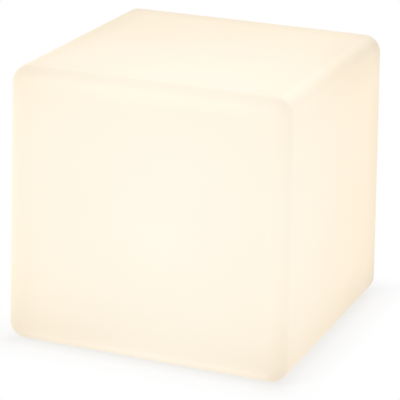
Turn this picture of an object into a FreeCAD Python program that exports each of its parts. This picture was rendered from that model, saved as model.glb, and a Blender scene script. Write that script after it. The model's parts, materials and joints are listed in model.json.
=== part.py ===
import FreeCAD, Part
import math
import os

os.makedirs("parts", exist_ok=True)

Vec = FreeCAD.Vector

# Millimetres. +Z is up, the front face looks along -Y, and z = 0 is the ground under the feet.

# Hollow cube shell, moulded in one piece
base_width = 400.0          # footprint before its edges are rounded
shell_height = 380.0
side_draft = 0.9            # degrees that each side leans in towards the top
edge_radius = 24.0
shell_wall = 3.5
foot_proud = 2.0            # how far the feet lift the shell off the ground

# Recess in the underside that takes the lamp module, with a flat seat around the opening
recess_depth = 20.0
recess_rim_radius = 4.0
seat_width = 17.5

# Feet
foot_radius = 12.0
foot_thickness = 3.5
foot_inset = 50.0           # from the side of the footprint to the middle of a foot
foot_gap = 1.0              # between a foot and the side of its dimple
foot_edge = 0.8

# Threaded inserts in the shell, and the screws that hold the module to them
flange_screw_count = 6
flange_screw_radius = 2.0
flange_screw_head_radius = 4.0
flange_screw_head_height = 2.6
insert_wall = 0.75
insert_length = 8.0
insert_boss_wall = 5.2
insert_boss_cap = 5.0       # boss height left above the hole for the insert
insert_hole_spare = 3.0
thread_clearance = 0.05
screw_clearance = 0.3
hex_share = 0.75            # width across a socket's flats, as a share of the head's radius
hex_depth_share = 0.55      # depth of a socket, as a share of the head's height

# Lamp base: flange, floor and cup in one moulding
gasket_thickness = 1.6
gasket_inset = 1.0          # from both edges of the flange's seat
flange_gap = 1.5
flange_thickness = 4.0
flange_edge = 1.0
floor_thickness = 3.0
cup_gap = 2.0
cup_wall = 2.5
lip_width = 7.5
lip_depth = 4.0
lip_gap = 0.5               # between the lip and the boards and cells that pass through it

# Dome over the light board, with its seal, clamp ring and screws
seal_thickness = 1.0
dome_flange = 2.0
dome_wall = 2.0
dome_inset = 0.5
dome_rise = 28.0
clamp_ring_gap = 0.8
clamp_ring_thickness = 3.0
clamp_screw_count = 4
clamp_screw_angle = 45.0
clamp_boss_radius = 4.0
small_screw_radius = 1.5
small_screw_head_radius = 2.8
small_screw_head_height = 1.8
small_screw_grip = 7.0
pilot_spare = 2.0

# Light board on its heat spreader, on posts inside the cup
wiring_room = 17.2          # between the tops of the cells and the heat spreader
spreader_gap = 1.0
spreader_thickness = 2.0
light_board_inset = 1.5
board_thickness = 1.6
post_count = 3
post_first_angle = 30.0
post_radius = 3.5
post_inset = 3.0
spreader_drop = 5.0         # from the rim of the cup to the underside of the heat spreader
chip_side = 5.0
chip_height = 1.6
outer_ring_count = 16
outer_ring_inset = 14.0
inner_ring_count = 8
ring_spacing = 16.0
light_lead_hole_radius = 4.5

# Rechargeable cells in their cradle
cell_radius = 9.2
cell_length = 65.0
cell_spacing = 19.0
cell_clearance = 0.2
cell_edge = 0.8
cell_button_radius = 2.6
cell_button_height = 1.6
cradle_floor = 2.0
cradle_end_wall = 1.5
cradle_side_wall = 1.2
strap_half_width = 6.0
strap_thickness = 1.2
strap_gap = 0.2
strap_post_radius = 3.2
strap_post_gap = 1.8
strap_board_gap = 3.8
guard_board_size = (10.0, 27.0, 1.2)
guard_board_x = 22.0

# Control board over the floor of the cup
control_centre_y = -26.0
control_length = 64.0
control_hole_inset = 2.5
control_boss_radius = 2.5
control_boss_angle = 52.8   # degrees from the x axis, seen from the button or the socket
control_boss_gap = 0.4
control_screw_radius = 1.25
control_screw_head_radius = 2.2
control_screw_head_height = 1.4
control_screw_grip = 6.0
chip_package = (9.0, 9.0, 1.4)
inductor_size = (9.0, 9.0, 4.2)
inductor_offset = (8.5, 8.5)
capacitor_radius = 4.0
capacitor_height = 10.0
capacitor_offset = (12.0, -9.5)
receiver_size = (13.0, 7.0, 2.4)
receiver_offset = (-12.0, -10.5)
battery_plug_size = (9.0, 6.0, 5.0)
battery_plug_offset = (21.5, 9.0)
light_plug_size = (8.0, 6.0, 5.0)

# Power button with its silicone seal and the switch above it
button_radius = 6.0
button_proud = 1.0
button_travel = 0.8
button_clearance = 0.3
button_collar = 1.4         # how far the collar stands out past the cap
button_collar_height = 1.2
button_rest_gap = 0.1
button_dish_depth = 0.5
button_dish_inset = 1.8
seal_wall = 0.8
seal_lip_width = 1.3
seal_lip_thickness = 1.0
seal_clearance = 0.3
retainer_gap = 0.2
retainer_step_gap = 0.1
retainer_width = 2.9
retainer_cap = 1.6
retainer_screw_count = 3
retainer_screw_angle = 90.0
retainer_screw_radius = 0.8
retainer_screw_head_radius = 1.5
retainer_screw_head_height = 1.2
retainer_screw_grip = 2.2
retainer_screw_inset = 1.6
plunger_disc_radius = 3.2
plunger_disc_height = 1.5
plunger_stem_radius = 1.7
plunger_stem_clearance = 0.06
plunger_stem_grip = 1.6
plunger_stem_room = 0.4
switch_side = 6.0
switch_height = 3.6
switch_room = 0.4           # left between plunger disc and switch at full travel

# Charge socket, nut and washer
socket_flange_lip = 1.5
socket_flange_height = 1.2
socket_body_radius = 5.5
socket_body_height = 6.1    # above the top of the floor
socket_hole_clearance = 0.1
socket_bore_radius = 2.8
socket_mouth_lip = 0.2
socket_mouth_depth = 2.0
socket_entry_lip = 0.4
socket_entry_depth = 2.0
socket_back_wall = 1.6
socket_pin_radius = 1.05
washer_lip = 2.7
washer_thickness = 0.6
washer_clearance = 0.2
nut_wall = 1.5
nut_thickness = 2.4
socket_lead_spacing = 4.4
lead_radius = 0.9
lead_hole_clearance = 0.1
solder_height = 0.8

# Silicone cover over the charge socket, on a strap that bends at one line
cover_gap = 0.15
cover_lip = 2.5
cover_thickness = 1.8
cover_edge = 0.6
cover_nub_clearance = 0.4
cover_nub_length = 1.6
cover_tab_length = 3.2
cover_strap_half_width = 3.0
cover_strap_thickness = 1.0
hinge_reach = 6.5
hinge_slit = 0.3
anchor_reach = 7.0
anchor_head_radius = 4.2
anchor_stem_radius = 2.5
anchor_barb_radius = 3.4
anchor_barb_height = 1.6
anchor_hole_clearance = 0.1

# Indicator light and its window
window_radius = 2.5
window_collar_radius = 3.6
window_collar_height = 1.0
window_proud = 0.3
window_hole_clearance = 0.1
indicator_size = (2.4, 1.4, 0.9)
indicator_gap = 0.4

# Pressure vent
vent_inset = 6.5
vent_y = -2.0
vent_flange_radius = 5.5
vent_flange_height = 1.2
vent_stem_radius = 3.2
vent_barb_radius = 4.0
vent_barb_height = 1.4
vent_bore_radius = 1.6
vent_hole_clearance = 0.1
vent_membrane_thickness = 0.3
vent_membrane_inset = 0.6

# Leads
light_lead_spread = 1.5
light_lead_bend = 3.0
light_lead_reach = 9.0
battery_lead_spacing = 3.0
battery_lead_start = 4.0    # from the front edge of the guard board
battery_lead_straight = 1.3

past = 1.0                  # how far a cutter runs past the face that it cuts

# Shell, seat and floor levels
shell_bottom = foot_proud
shell_top = shell_bottom + shell_height
foot_offset = base_width / 2 - foot_inset
seat = shell_bottom + recess_depth
flange_top = seat - gasket_thickness
base_face = flange_top - flange_thickness
floor_top = base_face + floor_thickness

# Power button: radii outwards from the cap, levels upwards from the floor
collar_radius = button_radius + button_collar
collar_bottom = floor_top + button_rest_gap
collar_top = collar_bottom + button_collar_height
seal_inner = collar_radius + seal_clearance
seal_outer = seal_inner + seal_wall
seal_lip_outer = seal_outer + seal_lip_width
seal_cap_bottom = collar_top + button_rest_gap
seal_cap_top = seal_cap_bottom + seal_wall
retainer_inner = seal_outer + retainer_gap
retainer_step = seal_lip_outer + retainer_step_gap
retainer_outer = retainer_step + retainer_width
retainer_top = floor_top + seal_lip_thickness + retainer_cap
plunger_bottom = seal_cap_top + button_rest_gap
plunger_disc_top = plunger_bottom + plunger_disc_height
switch_bottom = plunger_disc_top + button_travel + switch_room

# Control board: its bosses stand just clear of the button's retainer
control_bottom = switch_bottom + switch_height
control_top = control_bottom + board_thickness
boss_reach = retainer_outer + control_boss_radius + control_boss_gap
boss_across = boss_reach * math.cos(math.radians(control_boss_angle))
boss_along = boss_reach * math.sin(math.radians(control_boss_angle))
control_hole_x = control_length / 2 - control_hole_inset
control_width = 2 * (boss_along + control_hole_inset)
button_place = (boss_across - control_hole_x, control_centre_y)
socket_place = (control_hole_x - boss_across, control_centre_y)
indicator_place = (0.0, control_centre_y)

# Cells: behind the control board, with the strap's front post between
strap_front_y = control_centre_y + control_width / 2 + strap_board_gap + strap_post_radius
cradle_front = strap_front_y + strap_post_radius + strap_post_gap
cell_front_y = cradle_front + cradle_side_wall + cell_clearance + cell_radius
cell_rear_y = cell_front_y + cell_spacing
cradle_rear = cell_rear_y + cell_radius + cell_clearance + cradle_side_wall
cell_axis = floor_top + cradle_floor + cell_radius
cell_top = cell_axis + cell_radius
strap_bottom = cell_top + strap_gap
strap_top = strap_bottom + strap_thickness
strap_places = [(0.0, strap_front_y), (0.0, cradle_rear + strap_post_gap + strap_post_radius)]
guard_board_y = (cell_front_y + cell_rear_y) / 2

# Cup: wide enough for the corners of the board and of the rear cell
board_corner = math.hypot(control_length / 2, control_width / 2 - control_centre_y)
cell_corner = math.hypot(cell_length / 2, cell_rear_y + cell_radius)
lip_radius = max(board_corner, cell_corner) + lip_gap
cup_inner = lip_radius + lip_width
cup_radius = cup_inner + cup_wall
opening_radius = cup_radius + cup_gap
recess_radius = opening_radius + seat_width
flange_radius = recess_radius - flange_gap
gasket_inner_radius = opening_radius + gasket_inset
gasket_outer_radius = flange_radius - gasket_inset
flange_screw_circle = (opening_radius + recess_radius) / 2
insert_radius = flange_screw_radius + thread_clearance + insert_wall
insert_boss_radius = insert_radius + insert_boss_wall
vent_place = (vent_inset - lip_radius, vent_y)

# Light board and dome over the cup
post_top = cell_top + wiring_room
rim = post_top + spreader_drop
light_board_bottom = post_top + spreader_thickness
light_board_top = light_board_bottom + board_thickness
spreader_radius = lip_radius - spreader_gap
light_board_radius = spreader_radius - light_board_inset
post_circle = light_board_radius - post_inset
outer_ring = light_board_radius - outer_ring_inset
inner_ring = outer_ring - ring_spacing
light_plug_place = (0.0, -(outer_ring + inner_ring) / 2)
dome_radius = lip_radius - dome_inset
dome_bottom = rim + seal_thickness
clamp_ring_bottom = dome_bottom + dome_flange
clamp_ring_top = clamp_ring_bottom + clamp_ring_thickness
clamp_ring_inner = dome_radius + clamp_ring_gap
clamp_circle = lip_radius + clamp_boss_radius

# Charge socket and its cover
socket_face = base_face - socket_flange_height
socket_flange_radius = socket_body_radius + socket_flange_lip
socket_top = floor_top + socket_body_height
socket_mouth_radius = socket_bore_radius + socket_mouth_lip
socket_entry_radius = socket_mouth_radius + socket_entry_lip
socket_entry_top = socket_face + socket_entry_depth
pin_bottom = socket_entry_top + socket_mouth_depth
pin_top = socket_top - socket_back_wall
socket_lead_places = [
    (socket_place[0] + side * socket_lead_spacing / 2, socket_place[1])
    for side in (-1, 1)
]
cover_radius = socket_flange_radius + cover_lip
cover_top = socket_face - cover_gap
hinge_level = cover_top - cover_strap_thickness
hinge_x = socket_place[0] + cover_radius + hinge_reach
anchor_place = (hinge_x + anchor_reach, socket_place[1])

# Leads from the cells come down onto their connector in one bend
battery_lead_level = cell_top + guard_board_size[2] + lead_radius
battery_plug_top = control_top + battery_plug_size[2]
battery_lead_bend = battery_lead_level - battery_plug_top - battery_lead_straight


def rod(radius, low, high, place=(0.0, 0.0)):
    return Part.makeCylinder(radius, high - low, Vec(place[0], place[1], low))


def ring(outer, inner, low, high, place=(0.0, 0.0)):
    return rod(outer, low, high, place).cut(rod(inner, low - past, high + past, place))


def box(size, centre, low):
    corner = Vec(centre[0] - size[0] / 2, centre[1] - size[1] / 2, low)
    return Part.makeBox(size[0], size[1], size[2], corner)


def hex_prism(across_flats, low, high, place):
    radius = across_flats / math.sqrt(3)
    corners = [Vec(x, y, low) for x, y in around(6, radius, 0.0, place)]
    return Part.Face(Part.makePolygon(corners + corners[:1])).extrude(Vec(0, 0, high - low))


def turned(profile, place=(0.0, 0.0)):
    """A solid turned about the upright line through place, from (radius, height) points."""
    points = [Vec(radius, 0, height) for radius, height in profile]
    face = Part.Face(Part.makePolygon(points + points[:1]))
    solid = face.revolve(Vec(0, 0, 0), Vec(0, 0, 1), 360)
    solid.translate(Vec(place[0], place[1], 0))
    return solid


def around(count, radius, first_angle=0.0, centre=(0.0, 0.0)):
    """Places on a circle, as (x, y)."""
    angles = [math.radians(first_angle + i * 360.0 / count) for i in range(count)]
    return [(centre[0] + radius * math.cos(a), centre[1] + radius * math.sin(a)) for a in angles]


def join(first, *others):
    return first.fuse(list(others)).removeSplitter()


def screws(places, seat_level, side, head_radius, head_height, shank_radius, shank_length):
    """Cap screws with heads at seat_level; the shanks run up where side is 1 and down where it is -1."""
    head_end = seat_level - side * head_height
    tip = seat_level + side * shank_length
    recess_end = head_end + side * head_height * hex_depth_share
    outside = head_end - side * past
    made = []
    for place in places:
        body = join(
            rod(head_radius, min(seat_level, head_end), max(seat_level, head_end), place),
            rod(shank_radius, min(seat_level, tip), max(seat_level, tip), place),
        )
        low, high = min(outside, recess_end), max(outside, recess_end)
        made.append(body.cut(hex_prism(head_radius * hex_share, low, high, place)))
    return made


def small_screws(places, seat_level, held):
    """Small screws pointing down through a thickness held, and on into what is under it."""
    return screws(
        places, seat_level, -1, small_screw_head_radius, small_screw_head_height,
        small_screw_radius, held + small_screw_grip)


def bent_wire(points, bend, radius):
    """A round wire along straight runs, with an arc of the given radius at each inner point."""
    corners = [Vec(*point) for point in points]
    edges = []
    start = corners[0]
    for before, corner, after in zip(corners, corners[1:], corners[2:]):
        arriving = (corner - before).normalize()
        leaving = (after - corner).normalize()
        turn = arriving.getAngle(leaving)
        trim = bend * math.tan(turn / 2)
        arc_start = corner - arriving * trim
        arc_end = corner + leaving * trim
        inward = (leaving - arriving).normalize()
        middle = corner + inward * (bend / math.cos(turn / 2) - bend)
        edges.append(Part.LineSegment(start, arc_start).toShape())
        edges.append(Part.Arc(arc_start, middle, arc_end).toShape())
        start = arc_end
    edges.append(Part.LineSegment(start, corners[-1]).toShape())
    section = Part.Wire([Part.Circle(corners[0], corners[1] - corners[0], radius).toShape()])
    return Part.Wire(edges).makePipeShell([section], True, True)


def save(name, *solids):
    shape = solids[0] if len(solids) == 1 else Part.makeCompound(list(solids))
    if not shape.isValid() or any(solid.Volume <= 0 for solid in shape.Solids):
        raise ValueError(name + " isn't a sound solid")
    shape.exportStep("parts/" + name + ".step")
    print(name, len(shape.Solids), "solid(s),", round(shape.Volume), "mm3")


def drafted_block(half_width, low, high, radius):
    """A block with leaning sides and rounded edges; half_width is measured at shell_bottom."""
    lean = math.tan(math.radians(side_draft))
    half_low = half_width - (low - shell_bottom) * lean
    half_high = half_width - (high - shell_bottom) * lean
    outline = ((-half_low, low), (half_low, low), (half_high, high), (-half_high, high))
    across = [Vec(reach, -half_low, level) for reach, level in outline]
    along = [Vec(-half_low, reach, level) for reach, level in outline]
    prism_y = Part.Face(Part.makePolygon(across + across[:1])).extrude(Vec(0, 2 * half_low, 0))
    prism_x = Part.Face(Part.makePolygon(along + along[:1])).extrude(Vec(2 * half_low, 0, 0))
    block = prism_y.common(prism_x).Solids[0]
    return block.makeFillet(radius, block.Edges).Solids[0]


def circle_edges(shape, radius, level):
    """The full circles of one radius at one height."""
    near = 0.05
    found = []
    for edge in shape.Edges:
        reach = edge.BoundBox
        flat = abs(reach.ZMin - level) < near and abs(reach.ZMax - level) < near
        if flat and abs(reach.XLength - 2 * radius) < near and abs(reach.YLength - 2 * radius) < near:
            found.append(edge)
    return found


flange_screw_places = around(flange_screw_count, flange_screw_circle)
clamp_places = around(clamp_screw_count, clamp_circle, clamp_screw_angle)
post_places = around(post_count, post_circle, post_first_angle)
control_places = [
    (x, control_centre_y + y)
    for x in (-control_hole_x, control_hole_x)
    for y in (-boss_along, boss_along)
]
retainer_screw_places = around(
    retainer_screw_count, retainer_outer - retainer_screw_inset, retainer_screw_angle, button_place)
flange_screw_clear = flange_screw_radius + screw_clearance
small_screw_clear = small_screw_radius + screw_clearance


def beside_board(offset):
    """A place on the control board, measured from the board's centre."""
    return (offset[0], control_centre_y + offset[1])


def drilled(body, places, radius, low, high):
    return body.cut([rod(radius, low - past, high + past, place) for place in places])


def make_cube_shell():
    inner_half = base_width / 2 - shell_wall / math.cos(math.radians(side_draft))
    outer = drafted_block(base_width / 2, shell_bottom, shell_top, edge_radius)
    cavity = drafted_block(
        inner_half, shell_bottom + shell_wall, shell_top - shell_wall, edge_radius - shell_wall)
    ceiling = seat + shell_wall
    hole_top = seat + insert_length + insert_hole_spare
    well = rod(recess_radius + shell_wall, shell_bottom, ceiling)
    boss_top = hole_top + insert_boss_cap
    bosses = [rod(insert_boss_radius, seat, boss_top, place) for place in flange_screw_places]
    hollow = cavity.cut([well] + bosses)
    cutters = [
        rod(recess_radius, shell_bottom - past, seat),
        rod(opening_radius, shell_bottom - past, ceiling + past),
    ]
    cutters += [rod(insert_radius, seat - past, hole_top, place) for place in flange_screw_places]
    cutters += [
        rod(foot_radius + foot_gap, shell_bottom - past, foot_thickness, (x, y))
        for x in (-foot_offset, foot_offset)
        for y in (-foot_offset, foot_offset)
    ]
    shell = outer.cut([hollow] + cutters)
    return shell.makeFillet(recess_rim_radius, circle_edges(shell, recess_radius, shell_bottom))


def make_foot(x, y):
    foot = rod(foot_radius, 0, foot_thickness, (x, y))
    return foot.makeFillet(foot_edge, circle_edges(foot, foot_radius, 0))


def make_inserts():
    bore = flange_screw_radius + thread_clearance
    return [ring(insert_radius, bore, seat, seat + insert_length, place) for place in flange_screw_places]


def make_lamp_base():
    base = join(
        rod(flange_radius, base_face, flange_top),
        rod(cup_radius, base_face, rim),
    )
    base = base.cut([rod(cup_inner, floor_top, rim - lip_depth), rod(lip_radius, floor_top, rim + past)])
    base = base.makeFillet(flange_edge, circle_edges(base, flange_radius, base_face))
    grown = [rod(clamp_boss_radius, floor_top, rim, place) for place in clamp_places]
    grown += [rod(post_radius, floor_top, post_top, place) for place in post_places]
    grown += [rod(control_boss_radius, floor_top, control_bottom, place) for place in control_places]
    grown += [rod(strap_post_radius, floor_top, strap_bottom, place) for place in strap_places]
    base = drilled(join(base, *grown), flange_screw_places, flange_screw_clear, base_face, flange_top)
    pilots = (
        (clamp_places, small_screw_radius, rim, small_screw_grip + pilot_spare),
        (post_places, small_screw_radius, post_top, small_screw_grip + pilot_spare),
        (strap_places, small_screw_radius, strap_bottom, small_screw_grip + pilot_spare),
        (control_places, control_screw_radius, control_bottom, control_screw_grip + pilot_spare),
        (retainer_screw_places, retainer_screw_radius, floor_top, retainer_screw_grip),
    )
    for places, radius, top, depth in pilots:
        base = base.cut([rod(radius + thread_clearance, top - depth, top + past, place) for place in places])
    through = (
        (button_place, button_radius + button_clearance),
        (socket_place, socket_body_radius + socket_hole_clearance),
        (indicator_place, window_radius + window_hole_clearance),
        (vent_place, vent_stem_radius + vent_hole_clearance),
        (anchor_place, anchor_stem_radius + anchor_hole_clearance),
    )
    return base.cut([rod(radius, base_face - past, floor_top + past, place) for place, radius in through])


def make_gasket():
    gasket = ring(gasket_outer_radius, gasket_inner_radius, flange_top, seat)
    return drilled(gasket, flange_screw_places, flange_screw_clear, flange_top, seat)


def make_light_disc(radius, low, high):
    """The heat spreader or the light board: drilled for the post screws and the leads."""
    disc = drilled(rod(radius, low, high), post_places, small_screw_clear, low, high)
    return drilled(disc, [light_plug_place], light_lead_hole_radius, low, high)


def make_light_chips():
    size = (chip_side, chip_side, chip_height)
    chips = []
    for count, radius in ((inner_ring_count, inner_ring), (outer_ring_count, outer_ring)):
        for index, place in enumerate(around(count, radius)):
            chip = box(size, (0, 0), light_board_top)
            chip.rotate(Vec(0, 0, 0), Vec(0, 0, 1), index * 360.0 / count)
            chip.translate(Vec(place[0], place[1], 0))
            chips.append(chip)
    return chips


def make_seal_ring(inner, low, high):
    """The dome's seal or its clamp ring: as wide as the cup and drilled for the clamp screws."""
    return drilled(ring(cup_radius, inner, low, high), clamp_places, small_screw_clear, low, high)


def make_crown(radius, rise):
    """A solid cap of a sphere standing on the dome's flange, with an upright side below it."""
    sphere = (radius * radius + rise * rise) / (2 * rise)
    half_angle = math.asin(radius / sphere) / 2
    top = clamp_ring_bottom + rise
    middle = Vec(sphere * math.sin(half_angle), 0, top - sphere * (1 - math.cos(half_angle)))
    corners = [
        Vec(0, 0, top),
        Vec(0, 0, dome_bottom),
        Vec(radius, 0, dome_bottom),
        Vec(radius, 0, clamp_ring_bottom),
    ]
    edges = [Part.Arc(corners[3], middle, corners[0]).toShape()]
    edges += [Part.LineSegment(start, end).toShape() for start, end in zip(corners, corners[1:])]
    return Part.Face(Part.Wire(edges)).revolve(Vec(0, 0, 0), Vec(0, 0, 1), 360)


def make_dome():
    outer = join(make_crown(dome_radius, dome_rise), rod(cup_radius, dome_bottom, clamp_ring_bottom))
    dome = outer.cut(make_crown(dome_radius - dome_wall, dome_rise - dome_wall))
    return drilled(dome, clamp_places, small_screw_clear, dome_bottom, clamp_ring_bottom)


def make_cell(y):
    half = cell_length / 2
    body_end = half - cell_button_height
    can = Part.makeCylinder(cell_radius, half + body_end, Vec(-half, y, cell_axis), Vec(1, 0, 0))
    ends = [edge for edge in can.Edges if edge.BoundBox.XLength < past]
    button = Part.makeCylinder(cell_button_radius, half, Vec(0, y, cell_axis), Vec(1, 0, 0))
    return join(can.makeFillet(cell_edge, ends), button)


def make_cradle():
    length = cell_length + 2 * (cell_clearance + cradle_end_wall)
    centre = (0.0, (cradle_front + cradle_rear) / 2)
    block = box((length, cradle_rear - cradle_front, cell_axis - floor_top), centre, floor_top)
    block = block.common(rod(lip_radius - lip_gap, floor_top, cell_axis))
    room = cell_length / 2 + cell_clearance
    return block.cut([
        Part.makeCylinder(cell_radius + cell_clearance, 2 * room, Vec(-room, y, cell_axis), Vec(1, 0, 0))
        for y in (cell_front_y, cell_rear_y)
    ])


def make_strap():
    near, far = strap_places[0][1], strap_places[1][1]
    band = box((2 * strap_half_width, far - near, strap_thickness), (0, (near + far) / 2), strap_bottom)
    ends = [rod(strap_half_width, strap_bottom, strap_top, place) for place in strap_places]
    return drilled(join(band, *ends), strap_places, small_screw_clear, strap_bottom, strap_top)


def make_control_board():
    board = box((control_length, control_width, board_thickness), indicator_place, control_bottom)
    clear = control_screw_radius + screw_clearance
    board = drilled(board, control_places, clear, control_bottom, control_top)
    return drilled(board, socket_lead_places, lead_radius + lead_hole_clearance, control_bottom, control_top)


def make_button():
    face = base_face - button_proud
    cap = join(
        rod(button_radius, face, collar_top, button_place),
        rod(collar_radius, collar_bottom, collar_top, button_place),
    )
    dish_radius = button_radius - button_dish_inset
    sphere = (dish_radius ** 2 + button_dish_depth ** 2) / (2 * button_dish_depth)
    return cap.cut(Part.makeSphere(sphere, Vec(*button_place, face + button_dish_depth - sphere)))


def make_button_seal():
    return turned([
        (seal_inner, floor_top),
        (seal_lip_outer, floor_top),
        (seal_lip_outer, floor_top + seal_lip_thickness),
        (seal_outer, floor_top + seal_lip_thickness),
        (seal_outer, seal_cap_top),
        (0, seal_cap_top),
        (0, seal_cap_bottom),
        (seal_inner, seal_cap_bottom),
    ], button_place)


def make_retainer():
    ledge = floor_top + seal_lip_thickness
    body = turned([
        (retainer_inner, ledge),
        (retainer_step, ledge),
        (retainer_step, floor_top),
        (retainer_outer, floor_top),
        (retainer_outer, retainer_top),
        (retainer_inner, retainer_top),
    ], button_place)
    clear = retainer_screw_radius + thread_clearance
    return drilled(body, retainer_screw_places, clear, floor_top, retainer_top)


def make_plunger():
    return join(
        rod(plunger_disc_radius, plunger_bottom, plunger_disc_top, button_place),
        rod(plunger_stem_radius, plunger_bottom, switch_bottom + plunger_stem_grip, button_place),
    )


def make_switch():
    body = box((switch_side, switch_side, switch_height), button_place, switch_bottom)
    room_top = switch_bottom + plunger_stem_grip + button_travel + plunger_stem_room
    room_radius = plunger_stem_radius + plunger_stem_clearance
    return body.cut(rod(room_radius, switch_bottom - past, room_top, button_place))


def make_socket():
    body = join(
        rod(socket_flange_radius, socket_face, base_face, socket_place),
        rod(socket_body_radius, socket_face, socket_top, socket_place),
    )
    return body.cut([
        rod(socket_entry_radius, socket_face - past, socket_entry_top, socket_place),
        rod(socket_mouth_radius, socket_face - past, pin_bottom, socket_place),
        rod(socket_bore_radius, socket_face - past, pin_top, socket_place),
    ])


def make_nut(low):
    nut = hex_prism(2 * (socket_body_radius + nut_wall), low, low + nut_thickness, socket_place)
    return drilled(nut, [socket_place], socket_body_radius + thread_clearance, low, low + nut_thickness)


def make_flat_strap(start, end, y):
    size = (end - start, 2 * cover_strap_half_width, cover_strap_thickness)
    return box(size, ((start + end) / 2, y), hinge_level)


def make_cover():
    x, y = socket_place
    bottom = cover_top - cover_thickness
    disc = rod(cover_radius, bottom, cover_top, socket_place)
    disc = disc.makeFillet(cover_edge, circle_edges(disc, cover_radius, bottom))
    nub_radius = socket_entry_radius - cover_nub_clearance
    nub = rod(nub_radius, cover_top, cover_top + cover_nub_length, socket_place)
    strap = make_flat_strap(x - cover_radius - cover_tab_length, hinge_x - hinge_slit / 2, y)
    return join(disc, nub, strap)


def make_anchor():
    return join(
        make_flat_strap(hinge_x + hinge_slit / 2, anchor_place[0], anchor_place[1]),
        rod(anchor_head_radius, hinge_level, base_face, anchor_place),
        rod(anchor_stem_radius, hinge_level, floor_top, anchor_place),
        rod(anchor_barb_radius, floor_top, floor_top + anchor_barb_height, anchor_place),
    )


def make_window():
    return join(
        rod(window_radius, base_face - window_proud, control_bottom - indicator_size[2] - indicator_gap,
            indicator_place),
        rod(window_collar_radius, floor_top, floor_top + window_collar_height, indicator_place),
    )


def make_vent():
    face = base_face - vent_flange_height
    barb_top = floor_top + vent_barb_height
    body = join(
        rod(vent_flange_radius, face, base_face, vent_place),
        rod(vent_stem_radius, base_face, floor_top, vent_place),
        rod(vent_barb_radius, floor_top, barb_top, vent_place),
    )
    film_top = barb_top + vent_membrane_thickness
    film = rod(vent_barb_radius - vent_membrane_inset, barb_top, film_top, vent_place)
    return drilled(body, [vent_place], vent_bore_radius, face, barb_top), film


def make_light_lead(side):
    x, y = light_plug_place
    start = x + side * light_lead_spread
    level = light_board_top + lead_radius
    points = [
        (start, y, control_top + light_plug_size[2]),
        (start, y, level),
        (x + side * light_lead_reach, y, level),
    ]
    return bent_wire(points, light_lead_bend, lead_radius)


def make_battery_lead(side):
    x = guard_board_x + side * battery_lead_spacing / 2
    y = beside_board(battery_plug_offset)[1]
    start = guard_board_y - guard_board_size[1] / 2 + battery_lead_start
    points = [(x, start, battery_lead_level), (x, y, battery_lead_level), (x, y, battery_plug_top)]
    return bent_wire(points, battery_lead_bend, lead_radius)


# Shell and feet
save("cube_shell", make_cube_shell())
for depth_name, y in (("front", -foot_offset), ("back", foot_offset)):
    for side_name, x in (("left", -foot_offset), ("right", foot_offset)):
        save("foot_" + depth_name + "_" + side_name, make_foot(x, y))
save("threaded_inserts", *make_inserts())

# Lamp base
save("lamp_base", make_lamp_base())
save("flange_gasket", make_gasket())
save("flange_screws", *screws(
    flange_screw_places, base_face, 1, flange_screw_head_radius, flange_screw_head_height,
    flange_screw_radius, flange_thickness + gasket_thickness + insert_length))

# Light board and dome
save("heat_spreader", make_light_disc(spreader_radius, post_top, light_board_bottom))
save("led_board", make_light_disc(light_board_radius, light_board_bottom, light_board_top))
save("led_chips", *make_light_chips())
save("led_board_screws", *small_screws(post_places, light_board_top, spreader_thickness + board_thickness))
save("dome_seal", make_seal_ring(lip_radius, rim, dome_bottom))
save("light_dome", make_dome())
save("dome_clamp_ring", make_seal_ring(clamp_ring_inner, clamp_ring_bottom, clamp_ring_top))
save("clamp_ring_screws", *small_screws(clamp_places, clamp_ring_top, clamp_ring_top - rim))

# Cells
save("battery_cradle", make_cradle())
save("battery_cell_front", make_cell(cell_front_y))
save("battery_cell_rear", make_cell(cell_rear_y))
save("battery_strap", make_strap())
save("battery_strap_screws", *small_screws(strap_places, strap_top, strap_thickness))
save("battery_guard_board", box(guard_board_size, (guard_board_x, guard_board_y), cell_top))

# Control board and what stands on it
save("control_board", make_control_board())
save("board_screws", *screws(
    control_places, control_top, -1, control_screw_head_radius, control_screw_head_height,
    control_screw_radius, board_thickness + control_screw_grip))
save("controller_chip", box(chip_package, button_place, control_top))
save("charge_inductor", box(inductor_size, beside_board(inductor_offset), control_top))
save("smoothing_capacitor", rod(
    capacitor_radius, control_top, control_top + capacitor_height, beside_board(capacitor_offset)))
save("remote_receiver", box(receiver_size, beside_board(receiver_offset), control_top))
save("battery_connector", box(battery_plug_size, beside_board(battery_plug_offset), control_top))
save("led_connector", box(light_plug_size, light_plug_place, control_top))

# Power button
save("power_button", make_button())
save("button_seal", make_button_seal())
save("button_retainer", make_retainer())
save("retainer_screws", *screws(
    retainer_screw_places, retainer_top, -1, retainer_screw_head_radius, retainer_screw_head_height,
    retainer_screw_radius, retainer_top - floor_top + retainer_screw_grip))
save("switch_plunger", make_plunger())
save("tact_switch", make_switch())

# Charge socket and its cover
washer_top = floor_top + washer_thickness
save("charge_socket", make_socket())
save("socket_pin", rod(socket_pin_radius, pin_bottom, pin_top, socket_place))
save("socket_washer", ring(
    socket_body_radius + washer_lip, socket_body_radius + washer_clearance, floor_top, washer_top,
    socket_place))
save("socket_nut", make_nut(washer_top))
save("port_cover", make_cover())
save("port_cover_anchor", make_anchor())

# Indicator and vent
save("indicator_window", make_window())
save("indicator_led", box(indicator_size, indicator_place, control_bottom - indicator_size[2]))
pressure_vent, vent_membrane = make_vent()
save("pressure_vent", pressure_vent)
save("vent_membrane", vent_membrane)

# Leads
for colour, side, place in zip(("red", "black"), (-1, 1), socket_lead_places):
    save("battery_lead_" + colour, make_battery_lead(side))
    save("led_lead_" + colour, make_light_lead(side))
    save("socket_lead_" + colour, rod(lead_radius, socket_top, control_top + solder_height, place))

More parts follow.
